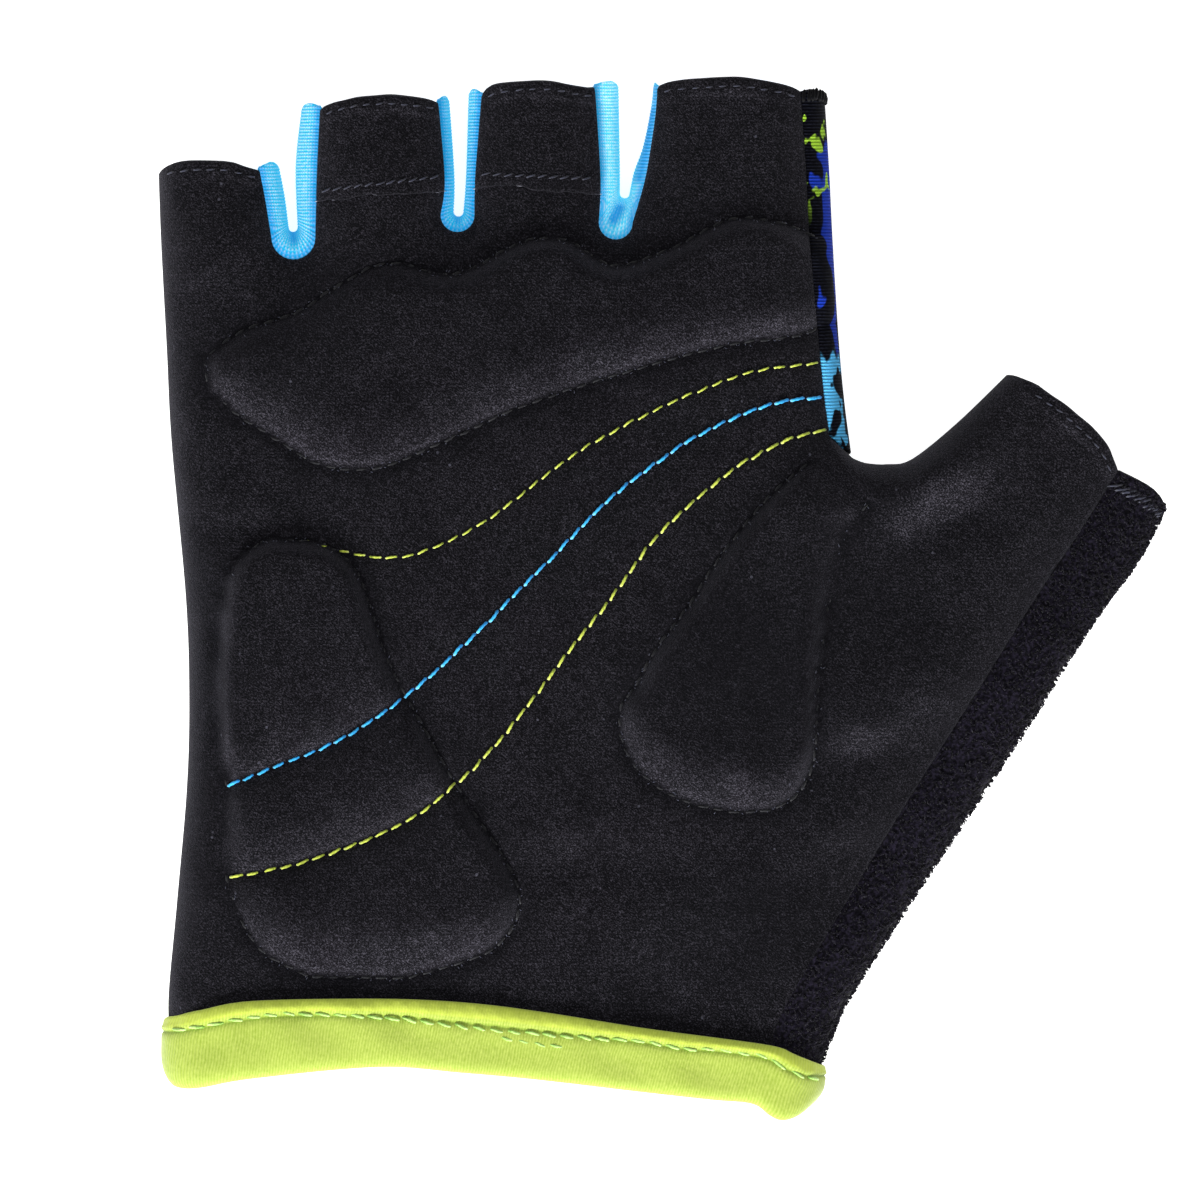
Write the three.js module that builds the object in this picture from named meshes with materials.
// Fingerless cycling glove for a child's right hand, lying on its back with the palm up.
// Millimetres. +Z is up, +Y runs to the fingertips and +X to the thumb. The glove is an open
// tube of cloth: a suede palm, a knit back, a terry thumb back, three knit side strips between
// the fingers, foam pads under the suede, two finger patches and a folded knit binding.
import * as THREE from 'three';

// Driving sizes
const WALL = 1.2;
const SEAM_GAP = 0.3;
const EDGE_HEIGHT = 11;
const PALM_DOME = { rise: 2.6, x: -10, y: 4, halfWidth: 62, halfLength: 54 };
const THUMB_FALL = { drop: 1.0, fromX: 34, length: 24 };
const TOP_SEAM = { depth: 2.0, reach: 8 };
const BACK_SEAM = { depth: 2.4, reach: 5.5 };
const THUMB_BACK_SEAM = { depth: 0.8, reach: 3 };
const TERRY_SEAM_FADE = { fromY: -48, length: 20 };
const PAD_RAMP = 5;
const PAD_CHANNEL = { depth: 0.5, halfWidth: 3.4 };
const PAD_GRID = { inset: 2.2, columns: 6, spanSteps: 6, rowStep: 3, gap: 0.9 };
const PATCH = { wall: 0.7, gap: 0.3, firstRow: 1 };
const CUFF = { lift: 1.5, slotRow: 0.45, fadeStart: 2, fadeLength: 10, lean: 0.18 };

// Columns and rows of the cloth: the suede's are fine, and those of the hidden back are plain.
const FINE = { finger: 5, floor: 4, thumb: 7, hand: 16, knuckle: 7, tip: 5, thumbTip: 6, roll: 6 };
const PLAIN = { finger: 3, floor: 4, thumb: 4, hand: 10, knuckle: 4, tip: 4, thumbTip: 4, roll: 6 };

// Each rail is a seam on the palm side and the outermost line, the rim, of the cloth beside it.
const RAIL_COLUMNS = ['seamX', 'seamY', 'rimX', 'rimY'];

// Little-finger side, from the wrist to the finger's mouth. The suede itself rolls round here.
const LITTLE_RAIL = rows(RAIL_COLUMNS, [
  [-51.6, -53.2, -59.4, -54.4],
  [-51.6, -48.0, -59.6, -48.4],
  [-50.6, -36.8, -58.6, -36.8],
  [-49.4, -23.0, -57.4, -23.0],
  [-49.1, -12.2, -57.1, -12.2],
  [-49.5, 0.0, -57.5, 0.0],
  [-51.2, 18.4, -59.2, 18.4],
  [-51.8, 29.8, -59.8, 29.8],
  [-52.5, 43.0, -60.5, 43.0],
  [-52.8, 52.6, -60.8, 51.4],
]);
const LITTLE_ROW = { wrist: 0, crotch: 6, knuckle: 8, mouth: 9 };

// Index finger's outer side, from the corner of the thumb crotch to the mouth.
const INDEX_RAIL = rows(RAIL_COLUMNS, [
  [19.8, 19.4, 22.6, 16.9],
  [19.2, 23.9, 21.7, 23.8],
  [18.5, 30.8, 21.0, 31.6],
  [17.4, 43.2, 20.3, 43.2],
  [17.0, 51.4, 19.9, 51.4],
  [16.3, 61.2, 19.3, 61.0],
]);
const INDEX_ROW = { corner: 0, knuckle: 3, mouth: 5 };

// Floor of the crotch between index finger and thumb, and then the thumb's inner side.
const CROTCH_RAIL = rows(RAIL_COLUMNS, [
  [19.8, 19.4, 22.6, 16.9],
  [20.6, 15.4, 23.2, 16.6],
  [22.9, 12.5, 24.5, 16.2],
  [26.9, 11.6, 26.9, 16.1],
  [31.7, 12.5, 29.8, 16.7],
  [38.5, 18.1, 35.3, 21.1],
  [45.1, 25.6, 41.5, 27.1],
]);
const CROTCH_ROW = { corner: 0, thumb: 4, mouth: 6 };

// Outer side of the wrist and thumb, where the terry strip shows beside the suede.
const TERRY_RAIL = rows(RAIL_COLUMNS, [
  [12.4, -57.6, 19.0, -58.9],
  [13.4, -51.2, 20.2, -53.0],
  [16.4, -45.4, 21.9, -48.6],
  [23.2, -34.1, 28.9, -37.6],
  [30.5, -22.2, 36.7, -25.9],
  [37.8, -10.8, 44.2, -14.6],
  [42.5, -3.2, 48.8, -7.1],
  [46.9, 3.6, 53.4, -0.2],
  [50.0, 8.2, 57.0, 4.6],
  [54.7, 15.7, 60.5, 11.4],
]);
const TERRY_ROW = { wrist: 0, thumb: 6, mouth: 9 };

// Slits between the fingers. A floor is an arc on a centre, and each side runs up from its end.
const SLIT_COLUMNS = ['seamX', 'seamY', 'rimX', 'rimY'];
const SLITS = [
  {
    name: 'fourchette_little_ring',
    floor: { seamX: -44.5, seamY: 43.3, seamRadius: 2.5, rimX: -44.6, rimY: 44.6, rimRadius: 0.55 },
    left: rows(SLIT_COLUMNS, [[-47.7, 47.5, -45.6, 48.2], [-48.5, 51.7, -46.3, 51.9]]),
    right: rows(SLIT_COLUMNS, [[-41.8, 51.0, -44.3, 52.0], [-41.4, 59.0, -43.6, 58.8]]),
  },
  {
    name: 'fourchette_ring_middle',
    floor: { seamX: -24.8, seamY: 46.0, seamRadius: 1.9, rimX: -24.7, rimY: 46.5, rimRadius: 0.6 },
    left: rows(SLIT_COLUMNS, [[-26.2, 50.2, -25.2, 50.8], [-27.0, 59.8, -25.8, 59.8]]),
    right: rows(SLIT_COLUMNS, [[-22.8, 50.2, -23.8, 50.8], [-22.0, 60.6, -23.5, 60.6]]),
  },
  {
    name: 'fourchette_middle_index',
    floor: { seamX: -5.8, seamY: 45.1, seamRadius: 1.9, rimX: -4.7, rimY: 48.9, rimRadius: 0.8 },
    left: rows(SLIT_COLUMNS, [[-7.4, 51.0, -5.4, 53.0], [-8.2, 61.6, -5.6, 61.5]]),
    right: rows(SLIT_COLUMNS, [[-2.3, 50.2, -3.2, 51.6], [-1.0, 61.5, -1.7, 61.4]]),
  },
];

// Rise of each mouth's arch over the straight line between its seams.
const MOUTH_ARCH = { little: 0.4, ring: 1.3, middle: 1.5, index: 1.1, thumb: 1.0 };

// Binding: its upper and lower edge across the wrist, from the little-finger side to the thumb's.
const CUFF_EDGES = rows(['x', 'top', 'bottom'], [
  [-60.5, -50.9, -58.8],
  [-49.4, -48.6, -58.1],
  [-34.1, -48.3, -56.3],
  [-21.8, -49.1, -57.3],
  [-4.3, -51.7, -59.1],
  [9.4, -53.5, -61.2],
  [14.9, -55.2, -62.4],
  [19.4, -56.6, -61.7],
]);
// Where the hand's columns end and the thumb's begin, along the wrist.
const WRIST_SPLIT = { hand: -2.9, thumb: 1.9 };

// Section of the binding from its outer lip round to its inner lip: w runs down the band from
// 0 at the upper edge to 1, and n stands off the cloth that it holds. A roll, the stitched
// groove and a band lie outside, and the slot holds the cloth's edge.
const CUFF_SECTION = rows(['w', 'n'], [
  [0.0, 0.35],
  [0.0, 1.0],
  [0.1, 1.5],
  [0.19, 1.3],
  [0.24, 0.95],
  [0.34, 1.25],
  [0.85, 1.25],
  [1.0, 0.5],
  [1.0, -1.8],
  [0.85, -2.4],
  [0.0, -2.4],
  [0.0, -1.5],
  [0.56, -1.5],
  [0.56, 0.3],
]);

// Pads, a row for each section across the pad, with its two ends: a and b.
const PAD_COLUMNS = ['aX', 'aY', 'bX', 'bY'];
const PADS = [
  {
    name: 'knuckle_pad',
    rise: 2.2,
    sections: rows(PAD_COLUMNS, [
      [-54.8, 25.3, -55.2, 28.8],
      [-51.0, 21.9, -50.5, 32.1],
      [-45.7, 18.6, -44.2, 34.2],
      [-41.3, 16.0, -39.2, 37.4],
      [-34.5, 15.6, -33.0, 40.2],
      [-26.0, 19.0, -25.1, 38.8],
      [-18.8, 22.3, -17.4, 42.5],
      [-12.0, 24.8, -12.0, 43.0],
      [-5.2, 26.9, -6.0, 39.9],
      [2.0, 29.0, 1.0, 42.0],
      [8.6, 30.5, 8.0, 45.4],
      [15.0, 31.3, 14.0, 45.0],
      [18.6, 32.4, 18.3, 43.3],
    ]),
    channels: [],
  },
  {
    name: 'heel_pad',
    rise: 2.5,
    sections: rows(PAD_COLUMNS, [
      [-47.2, 7.2, -41.2, 6.6],
      [-52.0, 3.4, -36.9, 3.2],
      [-53.6, -7.3, -33.2, -7.3],
      [-53.4, -16.0, -28.6, -16.0],
      [-52.4, -24.0, -24.0, -24.0],
      [-52.7, -32.0, -18.8, -32.0],
      [-51.3, -37.2, -17.4, -37.2],
      [-48.2, -42.4, -21.0, -42.4],
      [-42.7, -45.4, -31.0, -45.6],
    ]),
    channels: [
      rows(['x', 'y'], [[-23.3, -5.0], [-29.3, -10.4], [-34.1, -14.0], [-40.1, -17.6], [-54.6, -23.4]]),
      rows(['x', 'y'], [[-15.5, -13.0], [-25.7, -23.0], [-31.7, -27.2], [-38.9, -30.2], [-54.3, -34.0]]),
    ],
  },
  {
    name: 'thumb_pad',
    rise: 2.0,
    sections: rows(PAD_COLUMNS, [
      [-3.4, -20.4, 14.0, -24.6],
      [-5.4, -16.0, 18.2, -19.3],
      [-3.8, -10.6, 18.8, -11.6],
      [0.6, -3.8, 19.4, -3.2],
      [6.1, 4.3, 20.8, 3.6],
      [12.0, 10.8, 22.4, 9.6],
      [17.6, 15.9, 23.6, 12.6],
    ]),
    channels: [],
  },
];

// Rows of numbers under named columns.
function rows(columns, values) {
  return values.map((row) => Object.fromEntries(columns.map((name, i) => [name, row[i]])));
}

const point = (x, y) => new THREE.Vector2(x, y);
const between = (a, b, t) => a.clone().lerp(b, t);
const last = (list) => list[list.length - 1];

function ease(u) {
  const t = THREE.MathUtils.clamp(u, 0, 1);
  return t * t * (3 - 2 * t);
}

// A bump that is 1 in the middle and lies flat where |u| is 1.
function swell(u) {
  return Math.abs(u) < 1 ? (1 - u * u) ** 2 : 0;
}

// How far cloth dips beside a seam: 1 at the seam, easing to 0 at its reach.
function dip(distance, reach) {
  return (1 - Math.min(distance / reach, 1)) ** 3;
}

// Points of a smooth curve through the given points, with so many steps in each span.
function smoothLine(points, stepsPerSpan) {
  return new THREE.SplineCurve(points).getPoints(stepsPerSpan * (points.length - 1));
}

// Distance from a plan point to a line of plan points.
function distanceTo(line, p) {
  let nearest = Infinity;
  for (let i = 0; i + 1 < line.length; i += 1) {
    const span = line[i + 1].clone().sub(line[i]);
    const along = p.clone().sub(line[i]).dot(span) / span.lengthSq();
    const foot = between(line[i], line[i + 1], THREE.MathUtils.clamp(along, 0, 1));
    nearest = Math.min(nearest, foot.distanceTo(p));
  }
  return nearest;
}

// Whether a plan point lies inside a closed outline, by counting crossings of a level ray.
function isInside(outline, p) {
  let inside = false;
  outline.forEach((a, i) => {
    const b = outline[(i + 1) % outline.length];
    const crosses = (a.y > p.y) !== (b.y > p.y);
    if (crosses && p.x < a.x + ((p.y - a.y) * (b.x - a.x)) / (b.y - a.y)) {
      inside = !inside;
    }
  });
  return inside;
}

// Evenly spaced stations of a rail between two of its rows: seam and rim points, and the level
// direction that leads off the seam towards the rim.
function stations(rail, fromRow, toRow, count) {
  const spans = rail.length - 1;
  const seam = new THREE.SplineCurve(rail.map((row) => point(row.seamX, row.seamY)));
  const rim = new THREE.SplineCurve(rail.map((row) => point(row.rimX, row.rimY)));
  const finePerRow = 24;
  const travelled = [0];
  const steps = (toRow - fromRow) * finePerRow;
  const parameter = (step) => (fromRow + step / finePerRow) / spans;
  for (let step = 1; step <= steps; step += 1) {
    const stride = seam.getPoint(parameter(step)).distanceTo(seam.getPoint(parameter(step - 1)));
    travelled.push(last(travelled) + stride);
  }
  const list = [];
  for (let i = 0; i <= count; i += 1) {
    const goal = (last(travelled) * i) / count;
    const next = Math.max(1, travelled.findIndex((length) => length >= goal - 1e-9));
    const part = (goal - travelled[next - 1]) / (travelled[next] - travelled[next - 1]);
    const t = parameter(next - 1 + part);
    list.push({ seam: seam.getPoint(t), rim: rim.getPoint(t) });
  }
  return withOutwards(list);
}

// Adds to each station the unit direction square to the seam, on the rim's side.
function withOutwards(list) {
  return list.map((station, i) => {
    const before = list[Math.max(i - 1, 0)].seam;
    const after = list[Math.min(i + 1, list.length - 1)].seam;
    const along = after.clone().sub(before).normalize();
    const outward = point(along.y, -along.x);
    const side = station.rim.clone().sub(station.seam);
    if (side.dot(outward) < 0) {
      outward.negate();
    }
    return { ...station, outward };
  });
}

// Stations of a slit: down its left side, round its floor and up its right side.
function slitStations(slit, sideCount, floorCount) {
  const { floor } = slit;
  const arc = (name, angle) => point(
    floor[`${name}X`] + floor[`${name}Radius`] * Math.cos(angle),
    floor[`${name}Y`] + floor[`${name}Radius`] * Math.sin(angle),
  );
  const side = (table, angle) => {
    const foot = { seam: arc('seam', angle), rim: arc('rim', angle) };
    const rail = [
      { seamX: foot.seam.x, seamY: foot.seam.y, rimX: foot.rim.x, rimY: foot.rim.y },
      ...table,
    ];
    return stations(rail, 0, table.length, sideCount);
  };
  const floorStations = [];
  for (let i = 1; i < floorCount; i += 1) {
    const angle = Math.PI * (1 + i / floorCount);
    floorStations.push({ seam: arc('seam', angle), rim: arc('rim', angle) });
  }
  const left = side(slit.left, Math.PI);
  const right = side(slit.right, 0);
  return withOutwards([...left.reverse(), ...floorStations, ...right]);
}

// Points on a straight line from a to b, bowed by an arch to the left of that direction.
function archedLine(a, b, count, arch) {
  const chord = b.clone().sub(a).normalize();
  const lift = point(-chord.y, chord.x).multiplyScalar(arch);
  const line = [];
  for (let i = 0; i <= count; i += 1) {
    const t = i / count;
    line.push(between(a, b, t).addScaledVector(lift, 4 * t * (1 - t)));
  }
  return line;
}

// A patch of plan points spanned by four lines of points, as a Coons surface blends them. Its
// border is made of the very points given, so that neighbouring patches meet.
function coons(bottom, top, left, right) {
  const columns = bottom.length - 1;
  const count = left.length - 1;
  return left.map((start, i) => bottom.map((foot, j) => {
    if (i === 0 || i === count) {
      return i === 0 ? foot : top[j];
    }
    if (j === 0 || j === columns) {
      return j === 0 ? start : right[i];
    }
    const u = j / columns;
    const v = i / count;
    const corners = between(
      between(bottom[0], last(bottom), u),
      between(top[0], last(top), u),
      v,
    );
    return between(foot, top[j], v).add(between(start, right[i], u)).sub(corners);
  }));
}

// Height across the band of the binding's upper edge (w = 0) or lower edge (w = 1) at x.
function cuffY(x, w) {
  const table = CUFF_EDGES;
  const found = table.findIndex((row) => row.x >= x);
  const i = THREE.MathUtils.clamp(found < 0 ? table.length - 1 : found, 1, table.length - 1);
  const t = THREE.MathUtils.clamp((x - table[i - 1].x) / (table[i].x - table[i - 1].x), 0, 1);
  const top = THREE.MathUtils.lerp(table[i - 1].top, table[i].top, t);
  const bottom = THREE.MathUtils.lerp(table[i - 1].bottom, table[i].bottom, t);
  return THREE.MathUtils.lerp(top, bottom, w);
}

// Plan of the whole glove at one fineness. Palm and back are cut to the same plan.
function drawPlan(size) {
  const little = {
    hand: stations(LITTLE_RAIL, LITTLE_ROW.wrist, LITTLE_ROW.crotch, size.hand),
    knuckle: stations(LITTLE_RAIL, LITTLE_ROW.crotch, LITTLE_ROW.knuckle, size.knuckle),
    tip: stations(LITTLE_RAIL, LITTLE_ROW.knuckle, LITTLE_ROW.mouth, size.tip),
  };
  const index = {
    knuckle: stations(INDEX_RAIL, INDEX_ROW.corner, INDEX_ROW.knuckle, size.knuckle),
    tip: stations(INDEX_RAIL, INDEX_ROW.knuckle, INDEX_ROW.mouth, size.tip),
  };
  const crotch = {
    floor: stations(CROTCH_RAIL, CROTCH_ROW.corner, CROTCH_ROW.thumb, size.floor),
    thumb: stations(CROTCH_RAIL, CROTCH_ROW.thumb, CROTCH_ROW.mouth, size.thumbTip),
  };
  const terry = {
    hand: stations(TERRY_RAIL, TERRY_ROW.wrist, TERRY_ROW.thumb, size.hand),
    thumb: stations(TERRY_RAIL, TERRY_ROW.thumb, TERRY_ROW.mouth, size.thumbTip),
  };
  const slits = SLITS.map((slit) => slitStations(slit, size.tip, size.floor));
  const seamOf = (list) => list.map((station) => station.seam);

  // The knuckle line runs straight over each finger and round the floor of each slit.
  const knuckleLine = [little.knuckle[size.knuckle].seam];
  const fingerFeet = [];
  [...slits, null].forEach((slit) => {
    const start = last(knuckleLine);
    const end = slit ? slit[size.tip].seam : last(index.knuckle).seam;
    const foot = archedLine(start, end, size.finger, 0);
    fingerFeet.push(foot);
    knuckleLine.push(...foot.slice(1));
    if (slit) {
      knuckleLine.push(...seamOf(slit.slice(size.tip + 1, size.tip + size.floor + 1)));
    }
  });

  const handColumns = knuckleLine.length - 1;
  const handLine = archedLine(little.hand[size.hand].seam, crotch.floor[0].seam, handColumns, 0);
  const thumbLine = archedLine(last(crotch.floor).seam, last(terry.hand).seam, size.thumb, 0);
  const crotchLine = [...handLine, ...seamOf(crotch.floor).slice(1), ...thumbLine.slice(1)];

  const wristX = [little.hand[0].seam.x, WRIST_SPLIT.hand, WRIST_SPLIT.thumb, terry.hand[0].seam.x];
  const wristLine = [little.hand[0].seam];
  [handColumns, size.floor, size.thumb].forEach((count, part) => {
    for (let i = 1; i <= count; i += 1) {
      const x = THREE.MathUtils.lerp(wristX[part], wristX[part + 1], i / count);
      wristLine.push(point(x, cuffY(x, CUFF.slotRow)));
    }
  });
  wristLine[wristLine.length - 1] = terry.hand[0].seam;

  const hand = coons(wristLine, crotchLine, seamOf(little.hand), seamOf(terry.hand));
  const knuckles = coons(handLine, knuckleLine, seamOf(little.knuckle), seamOf(index.knuckle));

  const sides = [
    seamOf(little.tip),
    ...slits.flatMap((slit) => [
      seamOf(slit.slice(0, size.tip + 1)).reverse(),
      seamOf(slit.slice(size.tip + size.floor)),
    ]),
    seamOf(index.tip),
  ];
  const arches = [MOUTH_ARCH.little, MOUTH_ARCH.ring, MOUTH_ARCH.middle, MOUTH_ARCH.index];
  const fingers = fingerFeet.map((foot, i) => {
    const left = sides[2 * i];
    const right = sides[2 * i + 1];
    const mouth = archedLine(last(left), last(right), size.finger, arches[i]);
    return coons(foot, mouth, left, right);
  });

  const thumbLeft = seamOf(crotch.thumb);
  const thumbRight = seamOf(terry.thumb);
  const thumbMouth = archedLine(last(thumbLeft), last(thumbRight), size.thumb, MOUTH_ARCH.thumb);
  const thumb = coons(thumbLine, thumbMouth, thumbLeft, thumbRight);

  const thumbColumn = handColumns + size.floor;
  return { hand, knuckles, fingers, thumb, slits, little, index, crotch, terry, thumbColumn };
}

const palmPlan = drawPlan(FINE);
const backPlan = drawPlan(PLAIN);
const joined = (parts) => parts.flatMap((part, i) => part.slice(i === 0 ? 0 : 1));

// Lines that the cloth dips beside, on the palm side and on the back.
const seamLine = (list) => list.map((station) => station.seam);
const slitLines = SLITS.map((slit) => seamLine(slitStations(slit, 12, 12)));
const indexLine = seamLine(stations(INDEX_RAIL, INDEX_ROW.corner, INDEX_ROW.mouth, 24));
const terryLine = seamLine(stations(TERRY_RAIL, TERRY_ROW.wrist, TERRY_ROW.mouth, 40));
const littleLine = seamLine(stations(LITTLE_RAIL, LITTLE_ROW.wrist, LITTLE_ROW.mouth, 40));
const crotchLine = seamLine(stations(CROTCH_RAIL, CROTCH_ROW.corner, CROTCH_ROW.mouth, 24));
const cutLines = [...slitLines, indexLine, terryLine, littleLine, crotchLine];
const thumbBackLine = backPlan.hand.map((row) => row[backPlan.thumbColumn]);

const padShapes = PADS.map((pad) => {
  const steps = PAD_GRID.spanSteps;
  const a = smoothLine(pad.sections.map((row) => point(row.aX, row.aY)), steps);
  const b = smoothLine(pad.sections.map((row) => point(row.bX, row.bY)), steps);
  const outline = [...a, ...[...b].reverse()];
  const channels = pad.channels.map((line) => smoothLine(line.map((row) => point(row.x, row.y)), steps));
  return { ...pad, a, b, outline, closed: [...outline, outline[0]], channels };
});

// How far a pad lifts the suede at a plan point: nothing outside its outline, then a rounded
// ramp to its full rise, less the stitched channels that cross it.
function padLift(p) {
  let lift = 0;
  padShapes.forEach((pad) => {
    if (isInside(pad.outline, p)) {
      const ramp = Math.sin((Math.PI / 2) * Math.min(distanceTo(pad.closed, p) / PAD_RAMP, 1));
      const press = pad.channels.reduce((sum, line) => (
        sum + PAD_CHANNEL.depth * Math.exp(-((distanceTo(line, p) / PAD_CHANNEL.halfWidth) ** 2))
      ), 0);
      lift += pad.rise * ramp * (1 - press);
    }
  });
  return lift;
}

// Outer height of the palm side without its pads.
function plainPalmHeight(p) {
  const dome = swell((p.x - PALM_DOME.x) / PALM_DOME.halfWidth)
    * swell((p.y - PALM_DOME.y) / PALM_DOME.halfLength);
  let z = EDGE_HEIGHT + PALM_DOME.rise * dome;
  z -= THUMB_FALL.drop * ease((p.x - THUMB_FALL.fromX) / THUMB_FALL.length);
  [...slitLines, indexLine].forEach((line) => {
    z -= TOP_SEAM.depth * dip(distanceTo(line, p), TOP_SEAM.reach);
  });
  const fade = ease((p.y - TERRY_SEAM_FADE.fromY) / TERRY_SEAM_FADE.length);
  z -= TOP_SEAM.depth * fade * dip(distanceTo(terryLine, p), TOP_SEAM.reach);
  return z;
}

const palmHeight = (p) => plainPalmHeight(p) + padLift(p);

// Outer height of the back: flat on the ground, lifted at its seams and by the binding. The
// little-finger side's seam lies flat.
function backHeight(p) {
  const liftedSeams = cutLines.filter((line) => line !== littleLine);
  const nearestSeam = Math.min(...liftedSeams.map((line) => distanceTo(line, p)));
  const seamLift = BACK_SEAM.depth * dip(nearestSeam, BACK_SEAM.reach);
  const thumbSeam = THUMB_BACK_SEAM.depth * dip(distanceTo(thumbBackLine, p), THUMB_BACK_SEAM.reach);
  const beyondCuff = p.y - cuffY(p.x, 0) - CUFF.fadeStart;
  const cuffPart = 1 - ease(beyondCuff / CUFF.fadeLength);
  return THREE.MathUtils.lerp(Math.max(seamLift, thumbSeam), CUFF.lift, cuffPart);
}

// The point of a sheet over a plan point, and its outward normal, which is +Z or -Z on a seam,
// so that the cut edge of the cloth stands upright there.
function sheetPoint(p, heightAt, side) {
  if (cutLines.some((line) => distanceTo(line, p) < SEAM_GAP / 2)) {
    return { at: new THREE.Vector3(p.x, p.y, heightAt(p)), normal: new THREE.Vector3(0, 0, side) };
  }
  const step = 0.4;
  const slopeX = (heightAt(point(p.x + step, p.y)) - heightAt(point(p.x - step, p.y))) / (2 * step);
  const slopeY = (heightAt(point(p.x, p.y + step)) - heightAt(point(p.x, p.y - step))) / (2 * step);
  return {
    at: new THREE.Vector3(p.x, p.y, heightAt(p)),
    normal: new THREE.Vector3(-slopeX * side, -slopeY * side, side).normalize(),
  };
}

// Outer and inner face of a sheet of cloth over a grid of plan points.
function sheet(grid, heightAt, side, standOff = 0, wall = WALL) {
  return grid.map((row) => row.map((p) => {
    const { at, normal } = sheetPoint(p, heightAt, side);
    const outer = at.addScaledVector(normal, standOff);
    return { outer, inner: outer.clone().addScaledVector(normal, -wall) };
  }));
}

// Cloth that rolls from the palm side round a rim to the back: half an ellipse at each station.
// The gaps keep its two edges off the sheets that are sewn to them but are pieces of their own.
function roll(list, count, palmGap, backGap) {
  return list.map(({ seam, rim, outward }) => {
    const high = palmHeight(seam);
    const low = backHeight(seam);
    const middle = (high + low) / 2;
    const half = (high - low) / 2;
    const section = [];
    for (let i = 0; i <= count; i += 1) {
      const angle = (Math.PI * i) / count;
      const palmShare = (1 + Math.cos(angle)) / 2;
      const gap = palmGap * palmShare + backGap * (1 - palmShare);
      const base = seam.clone().addScaledVector(outward, gap);
      const reach = rim.clone().sub(base);
      const bulge = reach.length();
      const face = (inset) => {
        const plan = base.clone().addScaledVector(reach, ((bulge - inset) / bulge) * Math.sin(angle));
        return new THREE.Vector3(plan.x, plan.y, middle + (half - inset) * Math.cos(angle));
      };
      section.push({ outer: face(0), inner: face(WALL) });
    }
    return section;
  });
}

// One closed body from patches of cloth whose outer vertices meet where they are sewn together
// as one piece: outer faces, inner faces turned round, and walls along every free edge.
function clothGeometry(patches) {
  const outer = [];
  const inner = [];
  const indexOf = new Map();
  const vertex = (node) => {
    const key = node.outer.toArray().map((value) => value.toFixed(4)).join(' ');
    if (!indexOf.has(key)) {
      indexOf.set(key, outer.length);
      outer.push(node.outer);
      inner.push(node.inner);
    }
    return indexOf.get(key);
  };
  const faces = patches.flatMap((patch) => orientedFaces(patch).map((face) => face.map(vertex)));
  const triangles = faces.filter(([a, b, c]) => a !== b && b !== c && c !== a);

  const edges = new Set();
  triangles.forEach(([a, b, c]) => [[a, b], [b, c], [c, a]].forEach((edge) => edges.add(edge.join())));
  const count = outer.length;
  const solid = [];
  triangles.forEach(([a, b, c]) => {
    solid.push([a, b, c], [a + count, c + count, b + count]);
    [[a, b], [b, c], [c, a]].forEach(([from, to]) => {
      if (!edges.has([to, from].join())) {
        solid.push([from, from + count, to], [to, from + count, to + count]);
      }
    });
  });
  return indexedGeometry([...outer, ...inner], solid);
}

// Two triangles for each cell of a patch, turned so that they face away from its inner side.
function orientedFaces(patch) {
  const cells = [];
  let facing = 0;
  for (let i = 0; i + 1 < patch.length; i += 1) {
    for (let j = 0; j + 1 < patch[i].length; j += 1) {
      const [a, b, c, d] = [patch[i][j], patch[i][j + 1], patch[i + 1][j + 1], patch[i + 1][j]];
      const across = b.outer.clone().sub(a.outer);
      const up = d.outer.clone().sub(a.outer);
      facing += across.cross(up).dot(a.outer.clone().sub(a.inner));
      cells.push([a, b, c], [a, c, d]);
    }
  }
  return facing > 0 ? cells : cells.map(([a, b, c]) => [a, c, b]);
}

function indexedGeometry(vertices, triangles) {
  const geometry = new THREE.BufferGeometry();
  const positions = vertices.flatMap((vertex) => vertex.toArray());
  geometry.setAttribute('position', new THREE.Float32BufferAttribute(positions, 3));
  geometry.setIndex(triangles.flat());
  geometry.computeVertexNormals();
  return geometry;
}

function palmPanel() {
  const { hand, knuckles, fingers, thumb, little, crotch } = palmPlan;
  const littleRoll = joined([little.hand, little.knuckle, little.tip]);
  const crotchRoll = joined([crotch.floor, crotch.thumb]);
  return clothGeometry([
    roll(littleRoll, FINE.roll, 0, SEAM_GAP),
    roll(crotchRoll, FINE.roll, 0, SEAM_GAP),
    ...[hand, knuckles, ...fingers, thumb].map((grid) => sheet(grid, palmHeight, 1)),
  ]);
}

// The back's last column stops at the thumb seam, and the index side starts just above the
// crotch corner, where the suede's own roll begins.
function backPanel() {
  const { hand, knuckles, fingers, index, thumbColumn } = backPlan;
  const handBack = hand.map((row) => row.slice(0, thumbColumn + 1));
  const sides = joined([index.knuckle, index.tip]);
  const along = sides[1].seam.clone().sub(sides[0].seam).setLength(2 * SEAM_GAP);
  const corner = sides[0].seam.clone();
  const lifted = (p) => (p.distanceTo(corner) < 1e-6 ? p.clone().add(along) : p);
  const grids = [handBack, knuckles, ...fingers].map((grid) => grid.map((row) => row.map(lifted)));
  const first = { ...sides[0], seam: lifted(corner), rim: sides[0].rim.clone().add(along) };
  return clothGeometry([
    roll([first, ...sides.slice(1)], PLAIN.roll, SEAM_GAP, 0),
    ...grids.map((grid) => sheet(grid, backHeight, -1)),
  ]);
}

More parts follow.
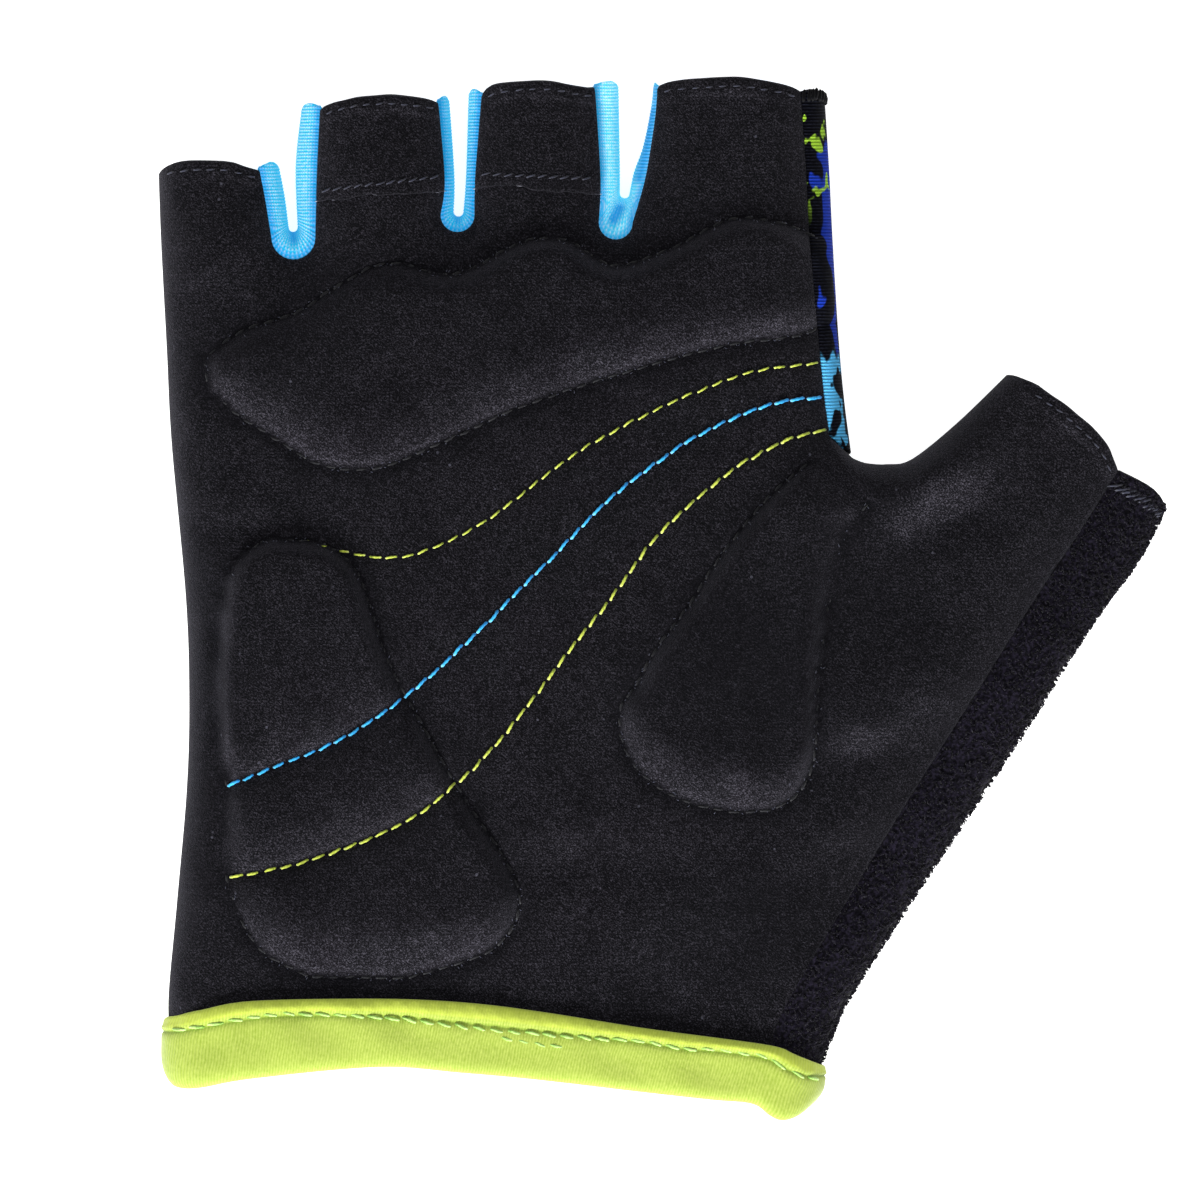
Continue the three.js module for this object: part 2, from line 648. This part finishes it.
// The terry panel starts a seam's gap beyond the back's last column.
function thumbTerryPanel() {
  const { hand, thumb, terry, thumbColumn } = backPlan;
  const aside = (row) => {
    const step = row[1].clone().sub(row[0]).setLength(SEAM_GAP);
    return [row[0].clone().add(step), ...row.slice(1)];
  };
  const lower = hand.map((row) => aside(row.slice(thumbColumn)));
  const upper = [aside(thumb[0]), ...thumb.slice(1)];
  return clothGeometry([
    roll(joined([terry.hand, terry.thumb]), PLAIN.roll, SEAM_GAP, 0),
    sheet(lower, backHeight, -1),
    sheet(upper, backHeight, -1),
  ]);
}

function fourchette(slitPlan) {
  return clothGeometry([roll(slitPlan, FINE.roll, SEAM_GAP, SEAM_GAP)]);
}

function fingerPatch(finger) {
  const grid = finger.slice(PATCH.firstRow);
  return clothGeometry([sheet(grid, palmHeight, 1, PATCH.gap + PATCH.wall, PATCH.wall)]);
}

// A foam pad fills the hollow that it raises in the suede: its top follows the suede's inner
// face, and its underside lies where that face would be without the pad. It ends one section
// and an inset short of the outline, where the suede is stitched down.
function foamPad(pad) {
  const { inset, columns, spanSteps, rowStep, gap } = PAD_GRID;
  const grid = [];
  for (let i = spanSteps; i < pad.a.length - spanSteps; i += rowStep) {
    const margin = inset / pad.a[i].distanceTo(pad.b[i]);
    const row = [];
    for (let j = 0; j <= columns; j += 1) {
      row.push(between(pad.a[i], pad.b[i], margin + (1 - 2 * margin) * (j / columns)));
    }
    grid.push(row);
  }
  const patch = sheet(grid, palmHeight, 1, -WALL - gap, 0).map((row) => row.map(({ outer }) => {
    const underside = plainPalmHeight(point(outer.x, outer.y)) - WALL - gap;
    return { outer, inner: new THREE.Vector3(outer.x, outer.y, underside) };
  }));
  return clothGeometry([patch]);
}

// Stations of the wrist's closed section: over the palm, round the thumb side, back under the
// hand and round the little-finger side. Each gives the cloth's face at an offset n from it.
function wristSections() {
  const { hand, little, terry } = backPlan;
  const floorZ = CUFF.lift;
  const topZ = EDGE_HEIGHT;
  const across = hand[0].filter((p, j) => j % 2 === 0);
  const flat = (p, z, side) => (n) => new THREE.Vector3(p.x, p.y, z + side * n);
  const rolled = ({ seam, rim }, angle) => (n) => {
    const reach = rim.clone().sub(seam);
    const bulge = reach.length();
    const plan = seam.clone().addScaledVector(reach, ((bulge + n) / bulge) * Math.sin(angle));
    const half = (topZ - floorZ) / 2;
    return new THREE.Vector3(plan.x, plan.y, (topZ + floorZ) / 2 + (half + n) * Math.cos(angle));
  };
  const turn = (station, from) => {
    const list = [];
    for (let i = 1; i < PLAIN.roll; i += 1) {
      list.push(rolled(station, from + (Math.PI * i) / PLAIN.roll));
    }
    return list;
  };
  const mirrored = { seam: little.hand[0].seam, rim: little.hand[0].rim };
  return [
    ...across.map((p) => flat(p, topZ, 1)),
    ...turn(terry.hand[0], 0),
    ...[...across].reverse().map((p) => flat(p, floorZ, -1)),
    ...turn(mirrored, 0).reverse(),
  ];
}

function cuffBinding() {
  const left = CUFF_EDGES[0].x;
  const right = last(CUFF_EDGES).x;
  const sections = wristSections();
  const vertices = [];
  sections.forEach((faceAt) => {
    CUFF_SECTION.forEach(({ w, n }) => {
      const at = faceAt(n);
      const height = cuffY(at.x, 0) - cuffY(at.x, 1);
      const down = (w - CUFF.slotRow) * height;
      const lean = CUFF.lean * THREE.MathUtils.clamp((at.x - left) / (right - left), 0, 1);
      vertices.push(new THREE.Vector3(at.x - lean * down, at.y - down, at.z));
    });
  });
  const count = CUFF_SECTION.length;
  const triangles = [];
  sections.forEach((section, i) => {
    const here = i * count;
    const next = ((i + 1) % sections.length) * count;
    for (let j = 0; j < count; j += 1) {
      const k = (j + 1) % count;
      triangles.push([here + j, next + k, next + j], [here + j, here + k, next + k]);
    }
  });
  return indexedGeometry(vertices, triangles);
}

// Finishes of the glove's cloths and foam.
const FINISHES = {
  suede: { color: 0x1f1e21, roughness: 0.95 },
  printed_knit: { color: 0x2a3f96, roughness: 0.8 },
  terry: { color: 0x17161c, roughness: 1.0 },
  cyan_knit: { color: 0x57c3f5, roughness: 0.75 },
  foam: { color: 0xd9d6cc, roughness: 0.9 },
  lime_knit: { color: 0xbedc46, roughness: 0.8 },
};

function piece(name, finish, geometry) {
  const material = new THREE.MeshStandardMaterial({ ...FINISHES[finish], metalness: 0 });
  const mesh = new THREE.Mesh(geometry, material);
  mesh.name = name;
  return mesh;
}

const glove = new THREE.Group();
glove.add(piece('palm_panel', 'suede', palmPanel()));
glove.add(piece('back_panel', 'printed_knit', backPanel()));
glove.add(piece('thumb_terry_panel', 'terry', thumbTerryPanel()));
SLITS.forEach((slit, i) => {
  glove.add(piece(slit.name, 'cyan_knit', fourchette(backPlan.slits[i])));
});
padShapes.forEach((pad) => {
  glove.add(piece(pad.name, 'foam', foamPad(pad)));
});
glove.add(piece('ring_finger_patch', 'suede', fingerPatch(palmPlan.fingers[1])));
glove.add(piece('middle_finger_patch', 'suede', fingerPatch(palmPlan.fingers[2])));
glove.add(piece('cuff_binding', 'lime_knit', cuffBinding()));

// The origin is under the middle of the glove, on the ground.
glove.updateMatrixWorld(true);
const extent = new THREE.Box3().setFromObject(glove);
const middle = extent.getCenter(new THREE.Vector3());
glove.children.forEach((mesh) => mesh.geometry.translate(-middle.x, -middle.y, -extent.min.z));

export default glove;
